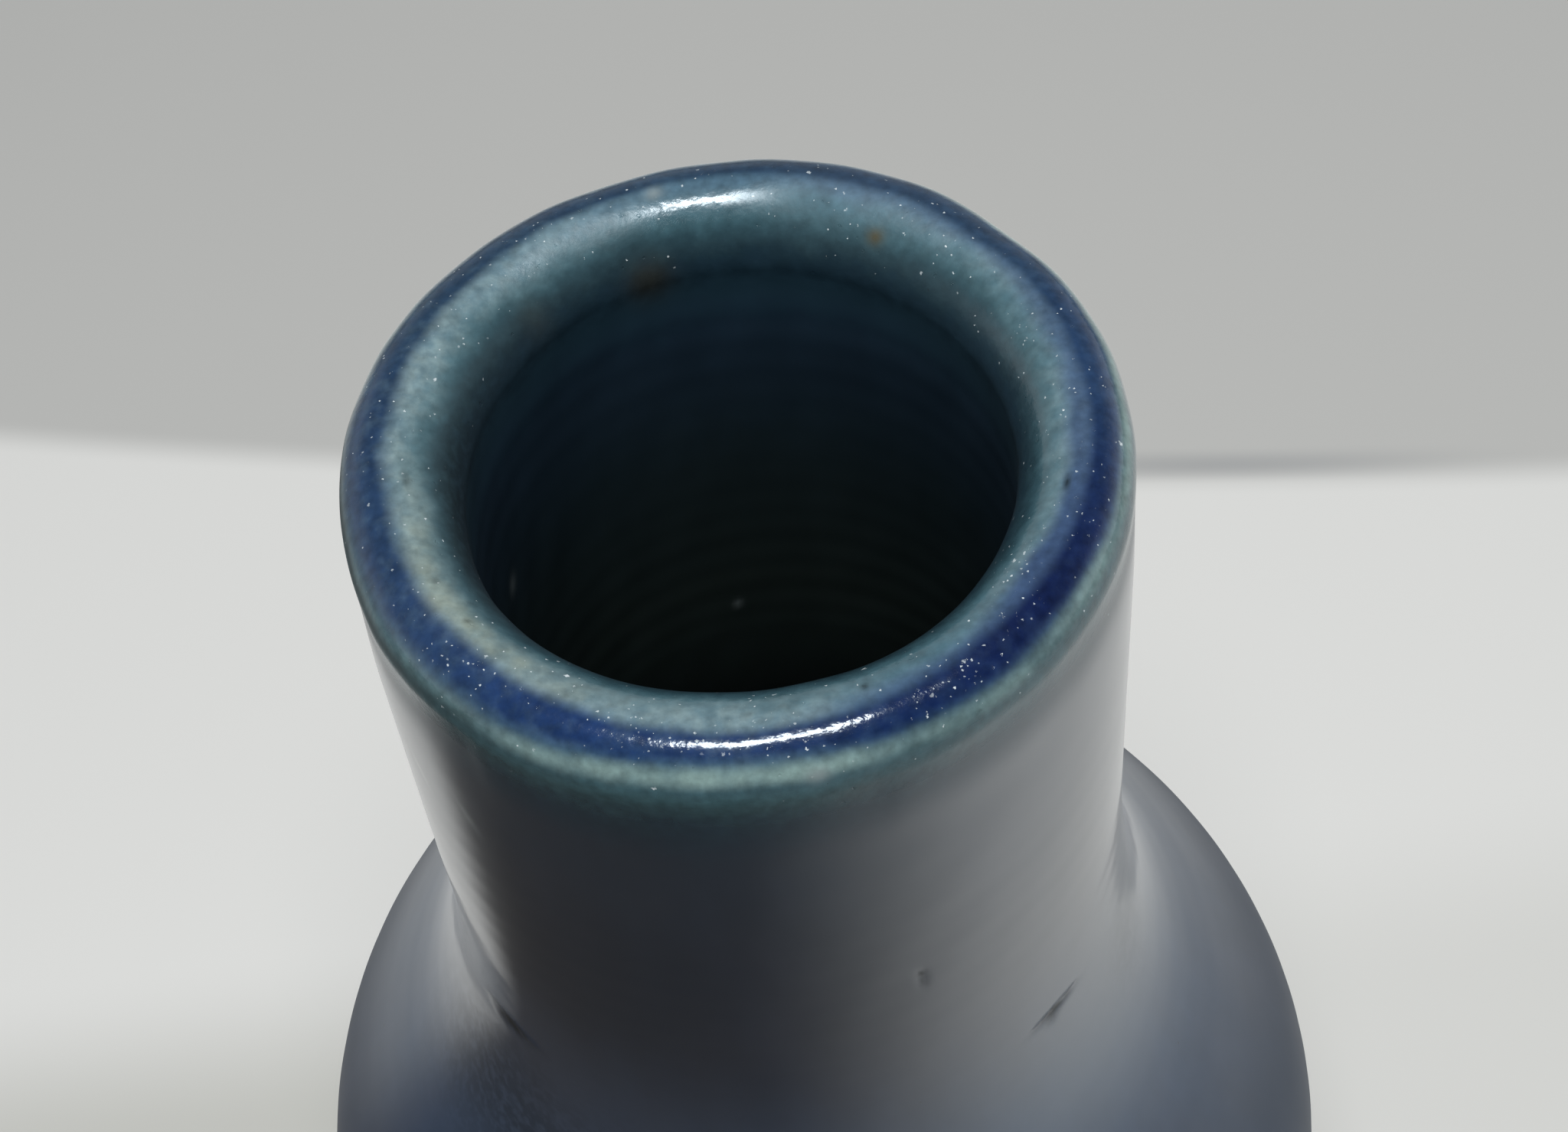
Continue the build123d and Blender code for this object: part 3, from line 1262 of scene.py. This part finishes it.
    # Roughness, and the clear glass over the neck
    ior: float = 1.78
    satin: Rise = Rise(2.4, 6.0, 0.10, 0.29)
    dull_belly: Rise = Rise(55.0, 66.0, 0.0, 0.30)
    dull_bore: Rise = Rise(-1.6, -4.6, 0.0, 0.45)
    under_lip: Band = Band(3.2, 0.8)
    under_limit: float = 1.1
    under_gain: float = 0.35
    patches: Cloud = Cloud(4.0, 4.0)
    patch_gain: Rise = Rise(6.0, 2.0, 0.03, 0.06)
    clear_run: tuple[Rise, Rise] = (Rise(5.0, 9.0, 0.0, 0.6), Rise(54.0, 44.0))
    clear_roughness: float = 0.10
    clear_ior: float = 1.5

    # Relief, with depths in millimetres
    relief_fade: Rise = Rise(3.0, 6.0, 1.0, 0.0)
    ripples: tuple[tuple[Cloud, float], ...] = ((Cloud(0.7), 0.012), (Cloud(0.34), 0.014))
    pits: Specks = Specks(0.8, 0.13, 0.5)
    pit_depth: float = 0.02

    def material(self) -> bpy.types.Material:
        """Build the glaze.

        Returns:
            The material for all three coats.
        """
        r, made = Recipe.dress(self.name)
        run = r.mark(Mark.RUN)
        coarse = r.plus(r.rise(run, self.body_fray), r.rise(run, self.bore_fray))
        wander = r.drift(self.wander)
        edge = r.plus(run, wander, r.times(r.drift(self.fray), coarse))
        grime_and_shade = self.grime_and_shade(r)
        colour = self.body_colour(r, edge, run)
        colour = self.lip_bands(r, colour, edge, run)
        colour = self.blemishes(r, colour, run)
        # Dirt and painted shade darken the colour and the reflection, and thin the clear glass over the
        # neck
        r.surface({
            "Base Color": r.mix(grime_and_shade, colour, self.soot_and_shade),
            "Roughness": self.dullness(r, run),
            "IOR": self.ior,
            "Specular Tint": r.mix(grime_and_shade, self.tint, self.soot_and_shade),
            "Coat Weight": r.times(r.window(run, *self.clear_run), r.minus(1.0, grime_and_shade)),
            "Coat Roughness": self.clear_roughness,
            "Coat IOR": self.clear_ior,
            "Normal": self.relief(r, run),
        })
        return made

    def grime_and_shade(self, r: Recipe) -> Socket:
        """How much dark lies on the glaze, from 0 to 1: dirt spots, and painted shade in its creases and
        hollows.
        """
        dark = r.math("MINIMUM", r.plus(r.mark(Mark.SOOT_AND_SHADE), r.mark(Mark.CREASE)), 1.0)
        return r.times(dark, r.share(self.dark_breakup))

    def body_colour(self, r: Recipe, edge: Socket, run: Socket) -> Socket:
        """Ground colour from the inside, over the lip, to the body, with clouds and thin edges.

        Args:
            r: the recipe.
            edge: wandering distance from the crest.
            run: true distance from the crest.

        Returns:
            The colour.
        """
        clouds = r.times(r.share(self.clouds), r.rise(run, self.cloud_run))
        fluff = r.share(self.fluff)
        thin = r.times(r.mark(Mark.PALE), r.window(edge, *self.thin_run), fluff)
        return r.layers(r.ramp(edge, self.ground), (clouds, self.slate), (thin, self.pale))

    def lip_bands(self, r: Recipe, colour: Socket, edge: Socket, run: Socket) -> Socket:
        """Lay cream, violet haze, cobalt, the pale arris and a painted green shadow under the lip over the
        ground.

        Args:
            r: the recipe.
            colour: the ground.
            edge: wandering distance from the crest.
            run: true distance from the crest.

        Returns:
            The colour with the bands.
        """
        creamy = r.share(self.cream_cloud)
        blue = r.mix(r.mark(Mark.BLUE), self.grey_blue, self.cobalt)
        pool = r.plus(r.mark(Mark.POOL), r.drift(self.pool_cloud))
        mottle = r.share(self.mottle)
        streak = r.share(self.streak)
        arris = r.mark(Mark.ARRIS)
        rim = r.plus(r.mark(Mark.RIM), r.times(r.minus(edge, run), self.arris_wander))
        return r.layers(
            colour,
            (r.times(r.mark(Mark.CREAM), r.band(edge, self.cream_band), creamy), self.cream),
            (r.times(r.mark(Mark.HAZE), r.window(edge, *self.haze_run)), self.violet),
            (
                r.times(r.window(pool, *self.pool_width), mottle),
                r.mix(r.mark(Mark.DEPTH), blue, self.deep_cobalt),
            ),
            (r.times(r.band(rim, self.arris_band), arris, streak), self.celadon),
            # painted shadow under the lip
            (r.times(r.band(edge, self.shade_band), r.minus(self.shade_limit, arris)), self.under_lip_shadow),
        )

    def blemishes(self, r: Recipe, colour: Socket, run: Socket) -> Socket:
        """Add grain, specks painted as glints, pinholes, pale spots with painted light, and iron.

        Args:
            r: the recipe.
            colour: the banded colour.
            run: true distance from the crest.

        Returns:
            The colour under the grime.
        """
        near_lip = r.band(run, self.near_lip)
        fine = r.times(r.drift(self.fine_grain), near_lip)
        grain = r.plus(fine, r.drift(self.broad_grain), 1.0)
        crowd = r.times(r.band(run, self.on_lip), r.plus(r.mark(Mark.CROWD), self.loose_crowd))
        # the three kinds of specks are painted glints
        kinds = (self.tiny_glints, crowd), (self.glint_specks, crowd), (self.lone_glints, near_lip)
        return r.layers(
            r.tone(colour, grain),
            (r.chain("MAXIMUM", tuple(r.specks(kind, where) for kind, where in kinds)), self.speck_glint),
            (r.times(r.specks(self.pinholes), self.pinhole_strength), self.soot_and_shade),
            (r.mark(Mark.CHALK_AND_SHEEN), self.chalk_and_sheen),
            (r.mark(Mark.IRON), self.iron),
        )

    def dullness(self, r: Recipe, run: Socket) -> Socket:
        """Roughness: glassy on the lip, satin on neck and body, dull inside and over the foot.

        Args:
            r: the recipe.
            run: true distance from the crest.

        Returns:
            The roughness.
        """
        slopes = (r.rise(run, slope) for slope in (self.satin, self.dull_belly, self.dull_bore))
        bare = r.minus(self.under_limit, r.mark(Mark.ARRIS))
        under = r.times(r.band(run, self.under_lip), bare, self.under_gain)
        patch = r.times(r.noise(self.patches), r.rise(run, self.patch_gain))
        return r.math("MINIMUM", r.plus(*slopes, r.mark(Mark.DULL), under, patch), 1.0)

    def relief(self, r: Recipe, run: Socket) -> Socket:
        """Orange-peel ripples and pits in the lip's glaze.

        Args:
            r: the recipe.
            run: true distance from the crest.

        Returns:
            The bent normal.
        """
        on_lip = r.rise(r.math("ABSOLUTE", run), self.relief_fade)
        normal = None
        for cloud, depth in self.ripples:
            normal = r.bump(r.times(r.noise(cloud), on_lip), depth, normal)
        pits = r.minus(1.0, r.times(r.specks(self.pits), on_lip))
        return r.bump(pits, self.pit_depth, normal)


@dataclass(frozen=True)
class FiredPaste:
    """Gritty, porous sand body, bare at the foot."""

    name: str = "faience_paste"
    colour: Rgb = (186, 172, 144)
    shade: Rgb = (150, 132, 104)
    grit: Rgb = (92, 80, 66)
    grain: Cloud = Cloud(0.35, 4.0)
    grain_depth: float = 0.05
    clouds: Cloud = Cloud(5.0, 4.0, levels=Rise(0.3, 0.7))
    grits: Specks = Specks(1.1, 0.16)
    grit_strength: float = 0.7
    dullness: Cloud = Cloud(1.5, levels=Rise(0.2, 0.8, 0.78, 0.95))
    ior: float = 1.45

    def material(self) -> bpy.types.Material:
        """Build the bare body's material.

        Returns:
            The material.
        """
        r, made = Recipe.dress(self.name)
        colour = r.mix(r.share(self.clouds), self.colour, self.shade)
        grits = r.times(r.specks(self.grits), self.grit_strength)
        r.surface({
            "Base Color": r.mix(grits, colour, self.grit),
            "Roughness": r.share(self.dullness),
            "IOR": self.ior,
            "Normal": r.bump(r.noise(self.grain), self.grain_depth),
        })
        return made


@dataclass(frozen=True)
class PaleFloor:
    """Plain pale floor that greys beyond a soft fold, with a painted shadow line along the fold and a
    painted soft shadow in front, with distances in millimetres from the jar.

    Mirrored in the glaze it is painted dark in front and painted light at the sides, a painted reflection
    of shaded and lit surroundings, by degrees round from the left.
    """

    name: str = "pale_floor"
    colour: Rgb = (226, 227, 225)
    far_colour: Rgb = (192, 193, 191)
    far_edge: Rise = Rise(89.7, 94.3)
    skew: float = 0.2
    bow: float = 0.0005
    # painted shadow line along the fold
    fold_shade: Rgb = (166, 168, 169)
    fold: Band = Band(93.6, 2.4)
    fold_width: Band = Band(47.0, 32.0)
    fold_strength: float = 0.8
    # painted soft shadow on the floor in front of the jar
    near_shade: Rgb = (197, 198, 193)
    near_edge: Rise = Rise(46.0, 28.0)
    near_side: Rise = Rise(30.0, -25.0, 0.35, 1.0)
    # painted reflection colours, seen only in the glaze: light at the sides, painted shade in front
    glare: Rgb = (238, 239, 237)
    mirrored_shade: Rgb = (74, 70, 66)
    mirrored_shade_turn: tuple[Rise, Rise] = (Rise(-27.0, -9.0), Rise(165.0, 72.0))
    roughness: float = 0.9
    ior: float = 1.45

    def material(self) -> bpy.types.Material:
        """Build the floor's material.

        Returns:
            The material.
        """
        r, made = Recipe.dress(self.name)
        x, y, _ = r.axes()
        beyond = r.plus(y, r.times(x, r.minus(self.skew, r.times(x, self.bow))))
        fold = r.times(r.band(beyond, self.fold), r.band(x, self.fold_width), self.fold_strength)
        near = r.times(r.rise(y, self.near_edge), r.rise(x, self.near_side))
        turn = r.math("DEGREES", r.math("ARCTAN2", r.times(y, -1.0), r.times(x, -1.0)))
        colour = r.layers(
            r.mix(r.rise(beyond, self.far_edge), self.colour, self.far_colour),
            (fold, self.fold_shade),
            (near, self.near_shade),
            # painted reflection of the floor in the glaze
            (
                r.node("LightPath").outputs["Is Glossy Ray"],
                r.mix(r.window(turn, *self.mirrored_shade_turn), self.glare, self.mirrored_shade),
            ),
        )
        r.surface({"Base Color": colour, "Roughness": self.roughness, "IOR": self.ior})
        return made


@dataclass(frozen=True)
class PasteBody:
    """The luted paste sections and their slip films, which keep their CAD shapes."""

    sections: tuple[str, ...] = ("foot_ring", "lower_body", "upper_body", "neck", "lip")
    films: tuple[str, ...] = ("foot_luting", "belly_luting", "neck_luting", "lip_luting")

    def dress(self, paste: bpy.types.Material, slip: bpy.types.Material) -> None:
        """Give each section and film its material.

        Args:
            paste: material of the sections.
            slip: material of the films.
        """
        for names, material in ((self.sections, paste), (self.films, slip)):
            for name in names:
                node = frame["nodes"][name]
                node.data.materials.clear()
                node.data.materials.append(material)
                log.info("dressed %s with %s", name, material.name)


@dataclass(frozen=True)
class PhotoCamera:
    """Camera that sees the jar as the photograph does, placed about the lip's centre.

    Distances are in metres, angles in degrees, and the sensor's width in millimetres.
    """

    focal_pixels: float = 3700.0
    distance: float = 0.12701
    elevation: float = 51.441
    roll: float = -7.629
    image: tuple[int, int] = (2048, 1479)
    lip_pixel: tuple[float, float] = (954.3, 566.7)
    sensor: float = 36.0
    nearest: float = 0.005

    def place(self, lip_center: Vector) -> None:
        """Add the camera and make it the scene's.

        Args:
            lip_center: middle of the lip's crest in metres.
        """
        tilt = math.radians(self.elevation)
        towards = Vector((0, math.cos(tilt), -math.sin(tilt)))
        right = Vector((1, 0, 0))
        level = Matrix((right, towards.cross(right), towards))
        turned = Matrix.Rotation(math.radians(self.roll), 3, "Z") @ level
        width, height = self.image
        sight = Vector((self.lip_pixel[0] - width / 2, self.lip_pixel[1] - height / 2, self.focal_pixels))
        aim = Vector((0, 0, 1)).rotation_difference(sight.normalized()).to_matrix()
        rows = aim @ turned
        data = bpy.data.cameras.new("photo_camera")
        data.sensor_width = self.sensor
        data.lens = self.focal_pixels / width * self.sensor
        data.clip_start = self.nearest
        camera = add_object("photo_camera", data)
        axes = Matrix((rows[0], -rows[1], -rows[2])).transposed().to_4x4()
        camera.matrix_world = Matrix.Translation(lip_center - towards * self.distance) @ axes
        bpy.context.scene.camera = camera


@dataclass(frozen=True)
class Panel:
    """Rectangular soft light over the lip, in metres and watts."""

    name: str
    size: tuple[float, float]
    back: float
    power: float
    mirrored: bool
    height: float = 0.60

    def hang(self, aim: Vector) -> None:
        """Hang the light.

        Args:
            aim: the point it looks at.
        """
        place = aim + Vector((0, self.back, self.height))
        data = bpy.data.lights.new(self.name, "AREA")
        data.shape = "RECTANGLE"
        data.size, data.size_y = self.size
        data.energy = self.power
        lamp = add_object(self.name, data)
        lamp.location = place
        lamp.rotation_euler = (aim - place).to_track_quat("-Z", "Y").to_euler()
        lamp.visible_glossy = self.mirrored


@dataclass(frozen=True)
class Studio:
    """Plain floor, soft lights and surroundings, whose changes are over parts of a unit direction."""

    floor_size: float = 4.0
    panels: tuple[Panel, ...] = (
        Panel("glint_light", (0.19, 0.085), 0.037, 1.3, mirrored=True),
        Panel("key_light", (0.26, 0.26), -0.15, 3.7, mirrored=False),
    )
    upward: Rise = Rise(0.0, 0.65, 0.30, 0.05)
    backward: Rise = Rise(-0.6, 0.3, 0.15, 1.0)
    sideways: Rise = Rise(0.5, 0.9, 1.0, 2.2)
    backdrop: Rgb = (216, 216, 214)

    def build(self, lip_center: Vector, floor: bpy.types.Material) -> None:
        """Set up floor, lights and world.

        Args:
            lip_center: middle of the lip's crest in metres.
            floor: the floor's material.
        """
        half = self.floor_size / 2
        corners = [(-half, -half, 0), (half, -half, 0), (half, half, 0), (-half, half, 0)]
        mesh = bpy.data.meshes.new("floor")
        mesh.from_pydata(corners, [], [(0, 1, 2, 3)])
        mesh.materials.append(floor)
        ground = add_object("floor", mesh)
        for panel in self.panels:
            panel.hang(lip_center)
        self.surroundings()

    def surroundings(self) -> None:
        """Make walls that light softly under a dark ceiling, seen by the camera as a pale backdrop."""
        world = bpy.data.worlds.new("surroundings")
        bpy.context.scene.world = world
        r = Recipe(world, "Generated", 1.0)
        x, y, z = r.axes()
        aside = r.math("ABSOLUTE", x)
        glow = r.times(r.rise(z, self.upward), r.rise(y, self.backward), r.rise(aside, self.sideways))
        room = r.node("Background", {"Color": (1, 1, 1, 1), "Strength": glow}).outputs[0]
        pale = r.node("Background", {"Color": linear(self.backdrop)}).outputs[0]
        seen = r.node("LightPath").outputs["Is Camera Ray"]
        both = r.node("MixShader", {0: seen, 1: room, 2: pale}).outputs[0]
        r.node("OutputWorld", {"Surface": both})


def main() -> None:
    """Dress the jar, then set up camera, floor and light."""
    logging.basicConfig(level=logging.INFO, format="%(name)s: %(message)s")
    bpy.context.scene.view_settings.view_transform = "Standard"
    form = JarForm.from_frame()
    hand = Handwork()
    lip_center = Vector((0, 0, form.height * MM))
    PhotoCamera().place(lip_center)
    glaze = BlueGlaze().material()
    makers = (
        CoatMaker(form, hand, Coat.LIP, columns=900, fine_step=0.12, coarse_step=0.12),
        CoatMaker(form, hand, Coat.OUTER, columns=440, fine_step=0.55, coarse_step=1.5),
        CoatMaker(form, hand, Coat.INNER, columns=360, fine_step=0.4, coarse_step=1.2),
    )
    for maker in makers:
        piece = maker.build()
        piece.data.materials.append(glaze)
        log.info("made %s with %d faces", piece.name, len(piece.data.polygons))
    paste = FiredPaste()
    slip = FiredPaste(
        name="luting_slip",
        colour=(196, 184, 160),
        shade=(172, 158, 132),
        grit=(120, 108, 92),
        grain=Cloud(0.2, 4.0),
    )
    PasteBody().dress(paste.material(), slip.material())
    Studio().build(lip_center, PaleFloor().material())


if __name__ == "__main__":
    main()
